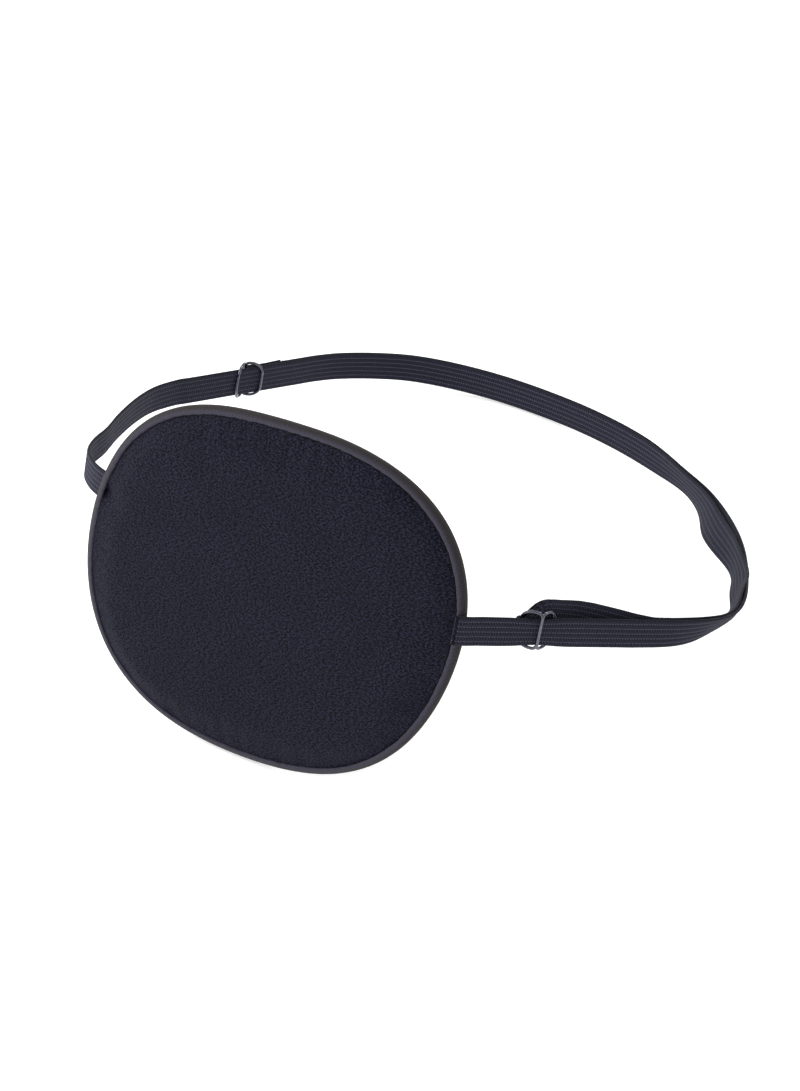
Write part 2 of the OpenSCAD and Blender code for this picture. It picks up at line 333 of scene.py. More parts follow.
# %% Thread and wire
thread, sockets = material_of("polyester_thread", Roughness=0.6, Specular_IOR_Level=0.08)
place = add(thread, "TexCoord", {})["Object"]
shade_scale = 0.35 / MM / 3
ply = add(thread, "TexWave", {"Vector": place, "Scale": shade_scale}, bands_direction="DIAGONAL")
colour = add(thread, "Mix", {0: ply["Fac"], 6: linear("#030304"), 7: linear("#0d0d12")},
             data_type="RGBA")[2]
finish_with(thread, sockets, colour, ply["Fac"], 0.03)

wire, sockets = material_of("gunmetal_wire", Metallic=1.0)
place = add(wire, "TexCoord", {})["Object"]
patina = add(wire, "TexNoise", {"Vector": place, "Scale": 0.8 / MM, "Detail": 2.0})["Fac"]
colour = add(wire, "Mix", {0: patina, 6: linear("#3e3f48"), 7: linear("#72747f")},
             data_type="RGBA")[2]
gloss = add(wire, "MapRange", {"Value": patina, "To Min": 0.14, "To Max": 0.3})["Result"]
finish_with(wire, sockets, colour, patina, 0.01, gloss)
print("materials:", [m.name for m in bpy.data.materials if m.use_nodes])

# %% [markdown]
# ## Tools for pieces
# A piece is a mesh from points in worn millimetres. One function makes it, gives it its
# material and notes each point's place on the flat cloth. Wrinkles come from smooth
# noise, which gives the same numbers at every run.

# %% Tools for pieces
def piece_of(name, points, faces, material, cloth=None):
    """A smooth shaded object from worn points, faces and places on the flat cloth."""
    mesh = bpy.data.meshes.new(name)
    mesh.from_pydata(worn(points).tolist(), [], [list(f) for f in faces])
    mesh.shade_smooth()
    if cloth is not None:
        attribute = mesh.attributes.new("cloth", "FLOAT_VECTOR", "POINT")
        attribute.data.foreach_set("vector", np.asarray(cloth, np.float32).ravel())
    mesh.materials.append(material)
    made = bpy.data.objects.new(name, mesh)
    scene.collection.objects.link(made)
    return made


def wobble(values, size, seed):
    """Smooth noise from -1 to 1 along values, with bumps about size long."""
    return np.array([noise.noise(Vector((v / size, seed * 7.3, 0.5))) for v in values]) * 1.8


def apply_modifiers(piece):
    """Turns a piece with its modifiers into a plain mesh."""
    seen = piece.evaluated_get(bpy.context.evaluated_depsgraph_get())
    mesh = bpy.data.meshes.new_from_object(seen)
    piece.modifiers.clear()
    piece.data = mesh


# %% [markdown]
# ## Outline of the patch
# The outline is a circle with two, three and four soft swellings, the same formula as
# the frame's. Sewing has drawn it in a little at the upper right and let it out a
# little at the upper left. A grid of four-sided faces is bent to a round sheet and then
# stretched to the outline, because a grid has no pole in the middle where cloth would
# pinch.

# %% Outline of the patch
drawn_in_at, let_out_at = math.radians(58), math.radians(140)


def rim(angle):
    """Distance from the middle to the edge of the patch, by the angle from +X to +Z."""
    cut = (50.9 + 3.1 * np.cos(2 * (angle - math.radians(15)))
           + 0.8 * np.cos(3 * (angle - math.radians(35)))
           + 1.4 * np.cos(4 * (angle - math.radians(43))))
    wrapped = np.mod(angle, 2 * math.pi)
    return (cut - 0.8 * np.exp(-((wrapped - drawn_in_at) / 0.35) ** 2)
            + 0.6 * np.exp(-((wrapped - let_out_at) / 0.4) ** 2))


turn = np.linspace(0, 2 * math.pi, 2001)
edge_line = np.stack([rim(turn) * np.cos(turn), rim(turn) * np.sin(turn)], 1)
edge_run = np.concatenate([[0], np.cumsum(np.linalg.norm(np.diff(edge_line, axis=0), axis=1))])


def run_at(angle):
    """Distance along the edge, from the angle 0, in millimetres."""
    return np.interp(np.mod(angle, 2 * math.pi), turn, edge_run)


widest_at = math.radians(35)     # where the tape was sewn widest, at the upper right


def slim_at(angle):
    """From 0, where the tape was sewn widest, to 1 opposite."""
    return 0.5 - 0.5 * np.cos(angle - widest_at)


def seam_at(angle):
    """Inset of the seam: the tape's lap is widest at the upper right and slim at the left."""
    return 2.4 - 0.3 * slim_at(angle)


def tuck_at(angle):
    """Inset of the cloth's cut edge, under the tape."""
    return np.maximum(seam_at(angle) - 1.05, 1.5)


print("edge of the patch, mm:", round(edge_run[-1], 1))


def round_grid(cells, crowd):
    """x, z and the share of the way to the edge, for a square grid bent to the outline."""
    side = np.linspace(-1, 1, cells + 1)
    x, z = np.meshgrid(side, side)
    u = x * np.sqrt(1 - z * z / 2)
    v = z * np.sqrt(1 - x * x / 2)
    angle = np.arctan2(v, u)
    share = 1 - (1 - np.minimum(np.hypot(u, v), 1)) ** crowd
    reach = share * (rim(angle) - tuck_at(angle))
    return (reach * np.cos(angle)).ravel(), (reach * np.sin(angle)).ravel(), share.ravel()


def grid_faces(cells, first=0, flip=False):
    """The faces of that grid, numbered from first."""
    row = cells + 1
    faces = [(first + j * row + i, first + j * row + i + 1,
              first + (j + 1) * row + i + 1, first + (j + 1) * row + i)
             for j in range(cells) for i in range(cells)]
    return [f[::-1] for f in faces] if flip else faces


def grid_border(cells):
    """The numbers of the grid's border points, in order round it."""
    row = cells + 1
    return ([i for i in range(cells)] + [i * row + cells for i in range(cells)]
            + [cells * row + cells - i for i in range(cells)]
            + [(cells - i) * row for i in range(cells)])


def cushion(cells, front, back):
    """Points and faces of a closed form from two such grids joined at their border."""
    count = (cells + 1) ** 2
    ring = grid_border(cells)
    walls = [(ring[i], ring[i - 1], count + ring[i - 1], count + ring[i])
             for i in range(len(ring))]
    return (np.concatenate([front, back]),
            grid_faces(cells) + grid_faces(cells, count, True) + walls)


# %% [markdown]
# ## Satin face
# The face is cut a little larger than the padding under it, sewn down all round and
# pushed out by the padding. A cloth simulation does just that: the border is held, a
# small pressure stands for the padding, and a negative shrink gives the spare cloth
# that gathers into soft waves by the seam. The sheet is simulated ten times larger,
# since the solver is made for clothes, and no point may move far.

# %% Satin face
crown_height = 3.4
cells = 48
x, z, share = round_grid(cells, 1.25)
angle = np.arctan2(z, x)
foot = (rim(angle) - seam_at(angle) - 0.28 * (1 - slim_at(angle))) / (rim(angle) - tuck_at(angle))
crown = crown_height * np.sqrt(np.clip(1 - (share / foot) ** 2.4, 0, 1))
front = np.stack([x, -lining_y - 0.85 * crown, z], 1)
back = np.stack([x, np.full_like(x, -0.1), z], 1)
points, faces = cushion(cells, front, back)
places = np.stack([points[:, 0], points[:, 2], 0 * points[:, 0]], 1)
satin_face = piece_of("satin_face", points, faces, satin, places)


def pad_out(piece, held, pressure, spare, cap):
    """Lets held cloth swell: 20 frames of simulation at ten times the size, then applied."""
    scale = 10.0
    rest = np.array([v.co for v in piece.data.vertices])
    middle = rest.mean(0)
    piece.data.vertices.foreach_set("co", ((rest - middle) * scale).ravel())
    pins = piece.vertex_groups.new(name="held")
    pins.add(np.flatnonzero(held).tolist(), 1.0, "REPLACE")
    cloth = piece.modifiers.new("padding", "CLOTH")
    cloth.settings.quality = 6
    cloth.settings.mass = 0.3
    cloth.settings.bending_stiffness = 0.4
    cloth.settings.use_pressure = True
    cloth.settings.uniform_pressure_force = pressure
    cloth.settings.shrink_min = -spare
    cloth.settings.vertex_group_mass = "held"
    cloth.settings.effector_weights.gravity = 0
    cloth.collision_settings.use_collision = False
    for step in range(1, 21):
        scene.frame_set(step)
    seen = piece.evaluated_get(bpy.context.evaluated_depsgraph_get())
    after = np.array([v.co for v in seen.data.vertices]) / scale + middle
    piece.modifiers.remove(cloth)
    piece.vertex_groups.remove(pins)
    scene.frame_set(1)
    move = after - rest
    length = np.maximum(np.linalg.norm(move, axis=1), 1e-9)
    move *= np.minimum(1, cap * MM / length)[:, None]
    piece.data.vertices.foreach_set("co", (rest + move).ravel())
    print(piece.name, "moved by up to", round(length.max() / MM, 2), "mm, kept to", cap)


held = np.concatenate([share > foot - 0.01, np.ones(len(back), bool)])
pad_out(satin_face, held, 4.0, 0.012, 1.1)
smooth = satin_face.modifiers.new("smooth", "SUBSURF")
smooth.levels = smooth.render_levels = 2
apply_modifiers(satin_face)

# %% [markdown]
# ## Gathers beside the seam
# Sewing draws the satin down in small tucks. They start at the seam, run a few
# millimetres towards the middle and fade, and they are strongest along the upper right
# edge and beside both bands. They are finer than the grid that was simulated, so they
# are moved into the smooth mesh afterwards.

# %% Gathers beside the seam
def worn_of(piece):
    """A piece's points in worn millimetres."""
    flat = np.empty(len(piece.data.vertices) * 3, np.float32)
    piece.data.vertices.foreach_get("co", flat)
    return (flat.reshape(-1, 3) - np.array(patch_middle)) @ worn_axes.T / MM


def bump_at(x, z, at, size):
    """A soft round weight from 1 at a point to 0 some millimetres away."""
    return np.exp(-((x - at[0]) ** 2 + (z - at[1]) ** 2) / (2 * size ** 2))


def gather(points, outward):
    """Moves points of a sewn sheet along outward (-1 front, 1 back) into small tucks."""
    angle = np.arctan2(points[:, 2], points[:, 0])
    inset = rim(angle) - np.hypot(points[:, 0], points[:, 2])
    run = run_at(angle)
    upper_right = 0.5 + 0.5 * np.cos(np.clip(angle - math.radians(45), -math.pi, math.pi))
    tuck = 0.6 * wobble(run, 3.4, 1) + 0.4 * wobble(run, 7.5, 2)
    fade = np.exp(-np.clip(inset - seam_at(angle), 0, None) / 2.6)
    shown = points[:, 1] * outward > 0.6
    points[:, 1] += outward * shown * 0.34 * tuck * fade * (0.1 + 0.9 * upper_right ** 2)
    return points


points = gather(worn_of(satin_face), -1)
x, z = points[:, 0], points[:, 2]
in_front = points[:, 1] < -0.6
for at, size, depth in (((44.5, 12.5), 2.2, 0.45), ((40.0, 9.5), 3.0, 0.3),
                        ((42.5, 5.0), 2.6, 0.25), ((-48.2, 10.5), 1.6, 1.1),
                        ((-44.5, 8.5), 2.2, 0.35)):
    points[:, 1] += in_front * depth * bump_at(x, z, at, size)
satin_face.data.vertices.foreach_set("co", worn(points).astype(np.float32).ravel())
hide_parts("front_panel", "padding")
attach(satin_face, "patch")
print("satin face:", len(satin_face.data.polygons), "faces, crown to",
      round(-points[:, 1].min(), 2), "mm")

# %% [markdown]
# ## Lining
# The lining lies flat against the face, so it is only a shallow pillow between its
# seams. The same round grid makes it, with tucks but no simulation.

# %% Lining piece
x, z, share = round_grid(cells, 1.25)
pillow = 0.45 * np.sqrt(np.clip(1 - (share / foot) ** 6, 0, 1))
ripple = 0.12 * np.array([noise.noise(Vector((a / 14, b / 14, 3.0))) for a, b in zip(x, z)])
outer = np.stack([x, lining_y + pillow + ripple * (pillow > 0), z], 1)
inner = np.stack([x, np.full_like(x, 0.1), z], 1)
points, faces = cushion(cells, inner, outer)
places = np.stack([points[:, 0], points[:, 2], 0 * points[:, 0]], 1)
lining_back = piece_of("lining_back", points, faces, lining, places)
smooth = lining_back.modifiers.new("smooth", "SUBSURF")
smooth.levels = smooth.render_levels = 1
apply_modifiers(lining_back)
points = gather(worn_of(lining_back), 1)
lining_back.data.vertices.foreach_set("co", worn(points).astype(np.float32).ravel())
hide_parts("back_panel")
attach(lining_back, "patch")
print("lining:", len(lining_back.data.polygons), "faces")

# %% [markdown]
# ## Binding
# The tape is folded round the edge and turned under along both laps. Its section is an
# outline: a small hem, the lap, the roll round the edge, the other lap and hem, and the
# inside. Carried round the patch it makes one closed ring. The lap is drawn down at
# each stitch and puffs out between them, and its hem wanders a little, as sewn.

# %% Binding section
edge_radius = 1.75
hem_radius = 0.3
hem_at = 2.9            # middle of the hem, inside the edge


def arc(centre, radius, start, stop, steps):
    """Points of an arc as (inset, y), by angles in degrees."""
    turns = np.radians(np.linspace(start, stop, steps))
    return [(centre[0] + radius * math.cos(t), centre[1] + radius * math.sin(t)) for t in turns]


front_hem = arc((hem_at, -1.42), hem_radius, 90, -90, 7)
front_lap = [(2.5, -1.78), (2.15, -1.79)]
roll_round = arc((edge_radius, 0), edge_radius, 270, 90, 17)
back_lap = [(i, -y) for i, y in reversed(front_lap)]
back_hem = [(i, -y) for i, y in reversed(front_hem)]
inside = arc((edge_radius, 0), edge_radius - 0.55, 90, 270, 7)
section = np.array(front_hem + front_lap + roll_round + back_lap + back_hem + inside)
print("points of the tape's section:", len(section))

# %% Binding piece
seam_pitch = 3.0        # between stitches
around = 1080
angle = np.linspace(0, 2 * math.pi, around, endpoint=False)
run = run_at(angle)
count = round(edge_run[-1] / seam_pitch)
puff = np.abs(np.sin(math.pi * count * run / edge_run[-1])) ** 0.7
wander = 0.16 * wobble(run, 5.0, 5) + 0.1 * wobble(run, 2.2, 6)
inset = np.repeat(section[None, :, 0], around, 0)
depth = np.repeat(section[None, :, 1], around, 0)
on_lap = np.clip((inset - 1.9) / 1.2, 0, 1) * (np.abs(depth) > 1.1)
lap_start = 1.0
ditch = 0.36 * (1 - slim_at(angle))
lap_share = (seam_at(angle) - ditch - lap_start) / (hem_at + hem_radius - lap_start)
inset = np.where(inset > lap_start, lap_start + (inset - lap_start) * lap_share[:, None], inset)
inset = inset + on_lap * lap_share[:, None] * (wander[:, None] + 0.16 * (puff[:, None] - 0.5))
depth = depth + np.sign(depth) * on_lap * 0.2 * (puff[:, None] - 0.6)
radius = rim(angle)[:, None] - inset
points = np.stack([radius * np.cos(angle)[:, None], depth, radius * np.sin(angle)[:, None]], 2)
over = np.concatenate([[0], np.cumsum(np.linalg.norm(np.diff(section, axis=0), axis=1))])
half_way = over[len(section) // 2 - 4]
places = np.stack([np.repeat(run[:, None], len(section), 1),
                   half_way - np.abs(np.repeat(over[None], around, 0) - half_way), 0 * depth], 2)
m = len(section)
faces = [(i * m + j, i * m + (j + 1) % m, (i + 1) % around * m + (j + 1) % m,
          (i + 1) % around * m + j) for i in range(around) for j in range(m)]
binding = piece_of("binding", points.reshape(-1, 3), faces, tape, places.reshape(-1, 3))
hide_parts("edge_binding")
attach(binding, "patch")
print("binding:", len(binding.data.polygons), "faces,", count, "stitches a side")

# %% [markdown]
# ## Tubes
# Thread and wire are both a round section carried along a line. The section keeps its
# bearing from point to point, so that the tube doesn't twist, and both ends are closed
# unless the line is a loop.

# %% Tubes
def unit(v):
    """Vectors scaled to the length 1."""
    return v / np.maximum(np.linalg.norm(v, axis=-1, keepdims=True), 1e-12)


def tube(line, radius, sides=8, closed=False):
    """Points and faces of a round tube along a line."""
    line = np.asarray(line, float)
    if closed:
        ahead = unit(np.roll(line, -1, 0) - np.roll(line, 1, 0))
    else:
        ahead = unit(np.gradient(line, axis=0))
    start = np.cross(ahead[0], (0.3, 0.2, 0.93))
    bearing = [unit(start)]
    for t in ahead[1:]:
        bearing.append(unit(bearing[-1] - t * np.dot(bearing[-1], t)))
    bearing = np.array(bearing)
    other = np.cross(ahead, bearing)
    turns = np.linspace(0, 2 * math.pi, sides, endpoint=False)
    points = (line[:, None] + radius * (np.cos(turns)[None, :, None] * bearing[:, None]
                                        + np.sin(turns)[None, :, None] * other[:, None]))
    rings = len(line)
    faces = [(i * sides + j, i * sides + (j + 1) % sides,
              (i + 1) % rings * sides + (j + 1) % sides, (i + 1) % rings * sides + j)
             for i in range(rings if closed else rings - 1) for j in range(sides)]
    if not closed:
        faces += [tuple(range(sides))[::-1], tuple(range((rings - 1) * sides, rings * sides))]
    return points.reshape(-1, 3), faces


def joined(parts):
    """Several sets of points and faces as one."""
    points, faces, first = [], [], 0
    for some_points, some_faces in parts:
        points.append(some_points)
        faces += [tuple(first + i for i in f) for f in some_faces]
        first += len(some_points)
    return np.concatenate(points), faces


# %% [markdown]
# ## Stitches in the ditch
# The tape is sewn on with one line of stitches in the ditch between lap and satin. Each
# stitch is a short thread that comes up, lies in the ditch and goes down again. They
# are left out in front of the right-hand band's end and behind the left-hand one's.

# %% Stitches in the ditch
band_up = 10.0          # height of the bands above the middle of the patch
thread_radius = 0.24


def stitches(side):
    """The stitches of one side, -1 front and 1 back."""
    made = []
    for i in range(count):
        middle_run = (i + 0.5) * edge_run[-1] / count
        runs = middle_run + np.linspace(-1.15, 1.15, 7)
        turns = np.interp(np.mod(runs, edge_run[-1]), edge_run, turn)
        reach = rim(turns) - seam_at(turns) + 0.02
        dip = np.array([0.6, 0.1, 0, -0.02, 0, 0.1, 0.6])
        depth = 1.5 - dip - 0.6 * slim_at(turns)
        line = np.stack([reach * np.cos(turns), side * depth, reach * np.sin(turns)], 1)
        in_band = abs(line[3, 2] - band_up) < 4.6 and line[3, 0] * side < 0
        if not in_band:
            made.append(tube(line, thread_radius, 6))
    return made


points, faces = joined(stitches(-1) + stitches(1))
seam_thread = piece_of("seam_thread", points, faces, thread)
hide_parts("binding_stitches")
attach(seam_thread, "patch")
print("seam thread:", len(seam_thread.data.polygons), "faces")

# %% [markdown]
# ## Route of the elastic
# Seen from above, the bands run from the left edge round the head and back to the right
# edge. The route's points are those of the frame, and a smooth curve is drawn through
# them. Two bands share it: at the left slider the right-hand band starts outside, and
# it comes inside by a band's thickness on the way to the right slider.

# %% Route of the elastic
left_start = [(-47.2, 2.35), (-51.5, 2.6), (-57, 5.4), (-62, 10.6), (-64.6, 17.5),
              (-66, 26), (-68.8, 37), (-70.9, 49), (-71.4, 59)]
left_marks = [-26, -21, -14, -7, 0, 7, 14, 20, 26]
behind = [(-46.2, 123.5), (-39.2, 132), (-30.5, 139.5), (-19, 144.5), (-5, 147.3),
          (10, 147.5), (26, 145.3), (42, 140), (56.5, 131.8), (69, 121.3),
          (79.7, 109), (88.5, 96), (95.3, 82), (99.8, 68), (100.8, 56), (98.4, 46),
          (93.8, 38)]
right_marks = [27, 21, 14, 7, 0, -7, -13, -15.5]
right_start = [(53.4, -0.6), (51.3, -2.3), (49.2, -2.35)]
left_mid, left_dir = np.array((-60, 92)), math.radians(68)
right_mid, right_dir = np.array((66.6, 11.9)), math.radians(43)


def along(middle, direction, s):
    """A point of a straight stretch, s millimetres from its middle."""
    return middle + s * np.array((math.cos(direction), math.sin(direction)))


route = np.array(left_start + [along(left_mid, left_dir, s) for s in left_marks] + behind
                 + [along(right_mid, right_dir, s) for s in right_marks] + right_start)
left_zero = len(left_start) + left_marks.index(0)
right_zero = len(left_start) + len(left_marks) + len(behind) + right_marks.index(0)
pair = BAND_THICK + 0.15        # from one layer to the next


def curve_at(stations):
    """Points of the smooth curve through the route, by station: 0 is its first point."""
    stations = np.clip(stations, 0, len(route) - 1 - 1e-9)
    i = stations.astype(int)
    t = (stations - i)[:, None]
    last = len(route) - 1
    p0, p1, p2, p3 = (route[np.clip(i + k, 0, last)] for k in (-1, 0, 1, 2))
    return 0.5 * (2 * p1 + (p2 - p0) * t + (2 * p0 - 5 * p1 + 4 * p2 - p3) * t ** 2
                  + (3 * p1 - p0 - 3 * p2 + p3) * t ** 3)


def spot(line, place, size):
    """A weight that is 1 at a place of the plan and fades over about size millimetres."""
    return np.exp(-np.sum((line - np.array(place)) ** 2, 1) / size ** 2)


def layer(start, stop, outer):
    """One band's line from station to station, as x and y; outer is the right-hand band."""
    stations = np.linspace(start, stop, int(abs(stop - start) * 16) + 2)
    line = curve_at(stations)
    ahead = unit(curve_at(stations + 0.01) - curve_at(stations - 0.01))
    outward = np.stack([-ahead[:, 1], ahead[:, 0]], 1)
    share = np.clip((stations - left_zero) / (right_zero - left_zero), 0, 1)
    near = np.clip((right_zero - 1 - stations) / 4, 0, 1)
    bulge = 2.7 * (0.5 + 0.5 * np.cos(math.pi * near))
    parted = 2.8 * spot(line, (82, 105), 15) + 0.3 * spot(line, (98, 70), 14)
    off = pair * (1 - share) if outer else -pair * share - bulge - parted
    return line + outward * off[:, None]


def even(line, pitch):
    """The same line with points at an even distance."""
    run = np.concatenate([[0], np.cumsum(np.linalg.norm(np.diff(line, axis=0), axis=1))])
    marks = np.linspace(0, run[-1], int(run[-1] / pitch) + 2)
    return np.stack([np.interp(marks, run, line[:, k]) for k in range(line.shape[1])], 1)


def eased(line, rounds):
    """The line with its corners rounded off, its ends in place."""
    line = line.copy()
    for _ in range(rounds):
        line[1:-1] = (line[:-2] + 2 * line[1:-1] + line[2:]) / 4
    return line


print("route, mm:", round(np.linalg.norm(np.diff(even(route, 1), axis=0), axis=1).sum()))

# %% [markdown]
# ## Ribbed band
# A band is swept from one section: ribs on both faces that meet in round edges. The
# sweep takes a line, a width and a lean for each point, so that the elastic can be
# squeezed where it turns round a wire and can roll outward on a bend.

# %% Ribbed band
def ribbed_section(per_rib=6, groove=0.14):
    """The outline of the elastic as (across, out), for the full width and thickness."""
    steps = RIBS * per_rib
    across = np.linspace(-1, 1, steps + 1)
    crest = np.abs(np.sin(math.pi * RIBS * (across + 1) / 2)) ** 0.7
    half = (BAND_THICK / 2 - groove * (1 - crest)) * (1 - np.abs(across) ** 14) ** 0.5
    outside = np.stack([across * BAND_WIDTH / 2, half], 1)
    inside = np.stack([across[-2:0:-1] * BAND_WIDTH / 2, -half[-2:0:-1]], 1)
    return np.concatenate([outside, inside])


def band(name, line, material, width=None, lift=None, lean=None, first_run=0.0):
    """A ribbed band along a line of (x, y), with widths, lifts and leans by point."""
    n = len(line)
    width = np.full(n, BAND_WIDTH) if width is None else width
    lift = np.zeros(n) if lift is None else lift
    lean = np.zeros(n) if lean is None else np.radians(lean)
    centre = np.stack([line[:, 0], line[:, 1], band_up + lift], 1)
    ahead = unit(np.gradient(centre, axis=0))
    upright = np.array([0, 0, 1.0]) - ahead * ahead[:, 2:3]
    upright = unit(upright)
    outward = np.cross(upright, ahead)
    up = upright * np.cos(lean)[:, None] + outward * np.sin(lean)[:, None]
    out = outward * np.cos(lean)[:, None] - upright * np.sin(lean)[:, None]
    section = ribbed_section()
    across = section[None, :, 0] * (width / BAND_WIDTH)[:, None]
    points = (centre[:, None] + up[:, None] * across[:, :, None]
              + out[:, None] * section[None, :, 1, None])
    run = first_run + np.concatenate([[0], np.cumsum(
        np.linalg.norm(np.diff(centre, axis=0), axis=1))])
    m = len(section)
    places = np.stack([np.repeat(run[:, None], m, 1), np.repeat(section[None, :, 0], n, 0),
                       np.zeros((n, m))], 2)
    faces = [(i * m + j, (i + 1) * m + j, (i + 1) * m + (j + 1) % m, i * m + (j + 1) % m)
             for i in range(n - 1) for j in range(m)]
    faces += [tuple(range(m)), tuple(range((n - 1) * m, n * m))[::-1]]
    made = piece_of(name, points.reshape(-1, 3), faces, material, places.reshape(-1, 3))
    print(name, round(run[-1] - first_run), "mm long,", len(faces), "faces")
    return made


# %% [markdown]
# ## The two main bands
# Both bands ride with the patch. The left-hand band lies inside and ends at the right
# slider; the right-hand band lies outside and ends at the left slider. On the tight
# bend at the right both roll over, with their top edge outward.

# %% The two main bands
def inner_lean(line):
    """How far the top edge of the inner band leans outward, in degrees."""
    return (-20 * spot(line, (62, 127), 12) + 34 * spot(line, (82, 104), 13)
            + 26 * spot(line, (97, 77), 9) + 34 * spot(line, (100, 53), 11))


def outer_lean(line):
    """The same for the outer band."""
    return -18 * spot(line, (60, 128), 13) + 33 * spot(line, (100, 53), 13)


left_slack, right_slack = left_zero + 8, right_zero - 6
band_pitch = 0.45
left_line = even(layer(0, right_slack, False), band_pitch)
right_line = even(layer(left_slack, len(route) - 1.6, True), band_pitch)
left_band = band("left_band", left_line, elastic, lean=inner_lean(left_line))
right_band = band("right_band", right_line, elastic, lean=outer_lean(right_line),
                  width=BAND_WIDTH - 0.9 * spot(right_line, right_mid, 5),
                  lift=-0.1 * spot(right_line, right_mid, 20))
for made, nodes in ((left_band, ("strap_left", "strap_left_rubber")),
                    (right_band, ("strap_right", "strap_right_rubber"))):
    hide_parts(*nodes)
    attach(made, "patch")

# %% [markdown]
# ## The ends at the sliders
# Each band ends at a slider: it turns round a bar and is sewn to itself. When the slider
# moves, that end moves with it and the stretch behind it takes up the difference, so
# the end and that stretch are made here as one piece, in its place at rest.

# %% The ends at the sliders
wire_radius = 0.425
bend_radius = wire_radius + 0.05 + BAND_THICK / 2
lobe_width, lobe_fold = 5.2, math.radians(32.5)
left_bar = pair + bend_radius
right_bar = BAND_THICK / 2 + 0.12 + wire_radius
lobe_x = lobe_width * math.cos(lobe_fold)
outer_bar = right_bar - lobe_width * math.sin(lobe_fold)


def at_left(points):
    """Points beside the left slider: along the band, outward."""
    x, y = np.asarray(points, float).T
    c, s = math.cos(left_dir), math.sin(left_dir)
    return left_mid + np.stack([x * c - y * s, x * s + y * c], 1)


def at_right(points):
    """Points beside the right slider: along the band away from the patch, outward."""
    x, y = np.asarray(points, float).T
    c, s = math.cos(right_dir), math.sin(right_dir)
    return right_mid + np.stack([x * c + y * s, x * s - y * c], 1)


def half_turn(x, y, start, stop):
    """The elastic's way round a wire at (x, y), by angles in degrees."""
    turns = np.radians(np.linspace(start, stop, 13))
    return np.stack([x + bend_radius * np.cos(turns), y + bend_radius * np.sin(turns)], 1)


squeezed = 7.0          # width of the elastic where it turns round a wire


def narrowed(line, centre):
    """Widths that narrow near a slider."""
    away = np.linalg.norm(line - centre, axis=1)
    return squeezed + (BAND_WIDTH - squeezed) * np.clip((away - 6) / 8, 0, 1)


left_end = np.concatenate([
    layer(left_slack, left_zero + 2.3, True),
    at_left([(6, pair)]), at_left(half_turn(0, left_bar, 270, 450)),
    at_left([(3, left_bar + bend_radius - 0.1), (8, 2 * pair + 0.1), (13, 2 * pair)])])
left_end = eased(even(left_end, 0.3), 3)
left_take_up = band("left_take_up", left_end, elastic, narrowed(left_end, at_left([(0, 0)])))

near_y = outer_bar - bend_radius
right_end = np.concatenate([
    layer(right_slack, right_zero - 1.5, False),
    at_right([(lobe_x, near_y)]), at_right(half_turn(-lobe_x, outer_bar, 90, 270)),
    at_right([(lobe_x, near_y - pair), (10, near_y - pair - 1)])])
right_end = eased(even(right_end, 0.3), 3)
from_slider = (right_end - right_mid) @ (math.cos(right_dir), math.sin(right_dir))
raised = np.interp(from_slider, (-2.2, 1.6, 7, 30), (-0.4, 4.4, 3.7, 0))
tail = 50               # points of the sewn tail, which hangs a little lower
raised[-tail:] -= np.linspace(0, 1.2, tail)
raised = eased(raised, 7)
right_take_up = band("right_take_up", right_end, elastic, narrowed(right_end, at_right([(0, 0)])),
                     raised, inner_lean(right_end))


for made, line, centre, zone, adjuster, nodes in (
        (left_take_up, left_end, at_left([(0, 0)]), (36, 17), "left_adjuster",
         ("strap_right_take_up", "strap_right_loop_end")),
        (right_take_up, right_end, at_right([(0, 0)]), (45, 25), "right_adjuster",
         ("strap_left_take_up", "strap_left_loop_end"))):
    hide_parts(*nodes)
    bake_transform(made)

# %% [markdown]
# ## Sliders
# A slider is one steel wire bent to two lobes side by side, folded a little so that its
# middle bar stands out. Each lobe is an egg-shaped loop of tube, wider-cornered away
# from the middle; the two run together along the middle bar. A fine voxel remesh joins
# them into one skin, as the coating does. The right slider sits 0.5 mm higher on its
# band.

# %% Sliders
slider_height = 10.6
coat_voxel = 0.08
lobe_corners = ((lobe_width - 3.2, 3.2, 2.9, 0), (1.3, 1.3, 1.3, 90),
                (1.3, 1.3, 1.3, 180), (lobe_width - 3.2, 3.2, 2.9, 270))


def lobe_line():
    """The centre of the wire round one lobe, as (away from the middle bar, height)."""
    top = slider_height / 2 - wire_radius
    line = []
    for x, wide, tall, start in lobe_corners:
        middle = (top - tall) if start < 180 else (tall - top)
        for step in range(13):
            t = math.radians(start + 90 * step / 12)
            line.append((x + wide * math.cos(t), middle + tall * math.sin(t)))
    return even(np.array(line + line[:1]), 0.25)[:-1]


def slider(name, place, bar, lift):
    """A wire slider in worn millimetres, by the function that places it and its bar."""
    away, height = lobe_line().T
    lobes = []
    for side in (-1, 1):
        plan = place(np.stack([side * away * math.cos(lobe_fold),
                               bar - away * math.sin(lobe_fold)], 1))
        lobes.append(tube(np.stack([plan[:, 0], plan[:, 1], band_up + lift + height], 1),
                          wire_radius, 20, True))
    made = piece_of(name, *joined(lobes), wire)
    skin = made.modifiers.new("coat", "REMESH")
    skin.mode = "VOXEL"
    skin.voxel_size = coat_voxel * MM
    even_out = made.modifiers.new("even_out", "SMOOTH")
    even_out.factor, even_out.iterations = 0.5, 10
    apply_modifiers(made)
    made.data.shade_smooth()
    if not made.data.materials:
        made.data.materials.append(wire)
    print(name, len(made.data.polygons), "faces")
    return made


for name, place, bar, lift, body in (
        ("left_slider", at_left, left_bar, 0.0, "left_adjuster"),
        ("right_slider", at_right, right_bar, 0.5, "right_adjuster")):
    made = slider(name, place, bar, lift)
    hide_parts("slider_left" if name == "left_slider" else "slider_right")
    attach(made, body)

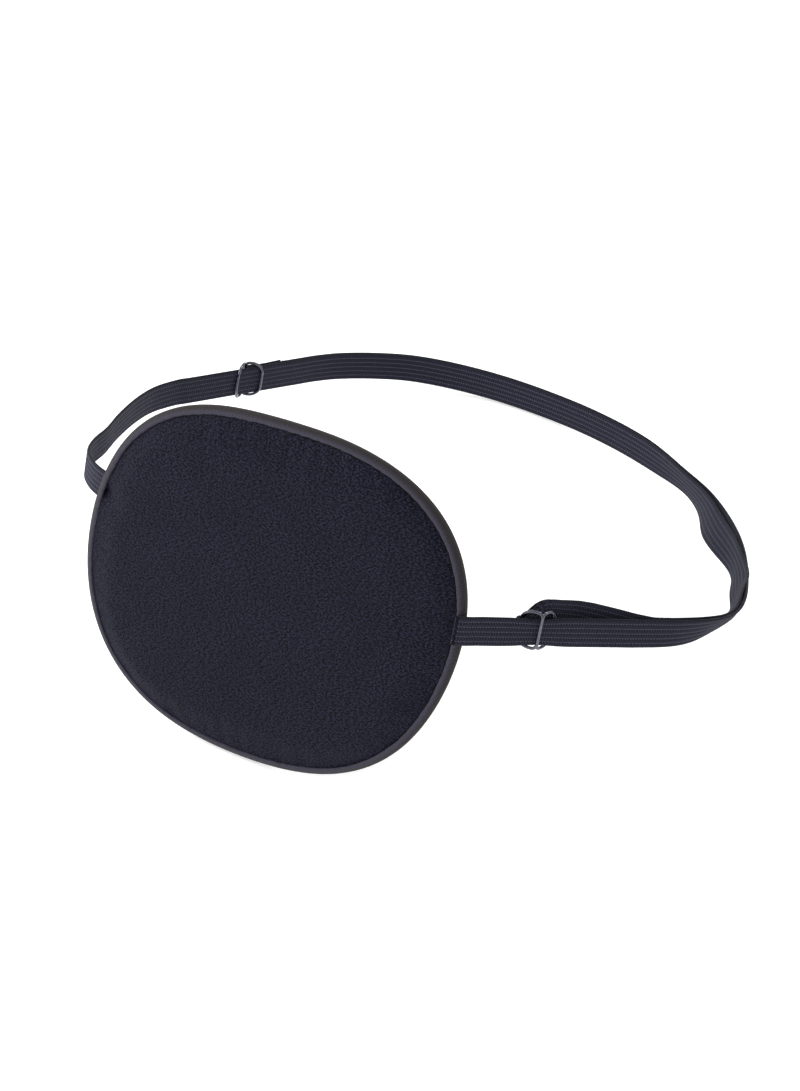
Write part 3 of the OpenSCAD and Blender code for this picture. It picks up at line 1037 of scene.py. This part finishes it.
# %% [markdown]
# ## Tacks and loose ends
# Each end of elastic is held by a bar tack: thread sewn to and fro across the band. The
# cut end behind the left slider is frayed, and a few threads stand up from it.

# %% Tacks and loose ends
def zigzag(middle, ahead, outward, length):
    """The line of a bar tack, to and fro across the band."""
    line = []
    passes = 5
    for k in range(passes):
        side = length / 2 * (1 if k % 2 else -1)
        shift = (k - passes // 2) * 0.16
        line.append(np.array(middle) + np.array(ahead) * shift + (0, 0, side))
        line.append(line[-1] + np.array(outward) * -0.25 + np.array(ahead) * 0.1)
    return even(np.array(line), 0.35)


def plan_axes(direction, outward_sign):
    """Ahead and outward of a straight stretch, as worn vectors."""
    c, s = math.cos(direction), math.sin(direction)
    return (c, s, 0), (-s * outward_sign, c * outward_sign, 0)


def tack(name, node, body, middle, ahead, outward, length):
    """One bar tack as a piece."""
    made = piece_of(name, *tube(zigzag(middle, ahead, outward, length), 0.12, 6), thread)
    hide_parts(node)
    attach(made, body)


ahead, outward = plan_axes(left_dir, 1)
plan = at_left([(9.5, 2 * pair + BAND_THICK / 2 + 0.1)])[0]
tack("left_end_tack", "left_loop_tack", "left_adjuster", (plan[0], plan[1], band_up),
     ahead, outward, squeezed - 1.2)
ahead, outward = plan_axes(right_dir, -1)
plan = right_end[-6] - np.array(outward[:2]) * (BAND_THICK / 2 + 0.1)
tack("right_end_tack", "right_loop_tack", "right_adjuster",
     (plan[0], plan[1], band_up + raised[-6]), ahead, outward, squeezed - 1.2)
tack("left_sewn_tack", "left_patch_tack", "patch", (-49.2, 2.9, band_up),
     (1, 0, 0), (0, 1, 0), BAND_WIDTH - 1.2)
tack("right_sewn_tack", "right_patch_tack", "patch", (50.9, -2.8, band_up),
     (1, 0, 0), (0, -1, 0), BAND_WIDTH - 0.4)

# %% Frayed threads
plan = left_end[-1]
strands = []
for k in range(7):
    foot = np.array((plan[0], plan[1], band_up + 3.3 - 0.25 * k))
    reach = 1.1 + 0.5 * math.sin(2.4 * k)
    steps = np.linspace(0, 1, 7)[:, None]
    way = np.array((0.55 * math.sin(1.7 * k), 0.35 * math.cos(2.9 * k), 1.0 - 0.14 * k))
    curl = np.array((0.4 * math.cos(k), 0.5, -0.2))
    strands.append(tube(foot + steps * reach * way + steps ** 2 * curl, 0.07, 5))
frayed_end = piece_of("frayed_end", *joined(strands), thread)
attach(frayed_end, "left_adjuster")
print("frayed threads:", len(strands))

# %% [markdown]
# ## Table
# The table is a wide white sheet. It is not part of the object.

# %% Table
table_mesh = bpy.data.meshes.new("table")
half = 3.0
drop = cad_box[0].z - 0.0002
table_mesh.from_pydata([(-half, -half, drop), (half, -half, drop), (half, half, drop),
                        (-half, half, drop)], [], [(0, 1, 2, 3)])
table = bpy.data.objects.new("table", table_mesh)
scene.collection.objects.link(table)
paper, _ = material_of("white_paper", Base_Color=linear("#f4f4f4"), Roughness=0.9,
                       Specular_IOR_Level=0.2, Emission_Color=linear("#ffffff"),
                       Emission_Strength=0.3)
table_mesh.materials.append(paper)
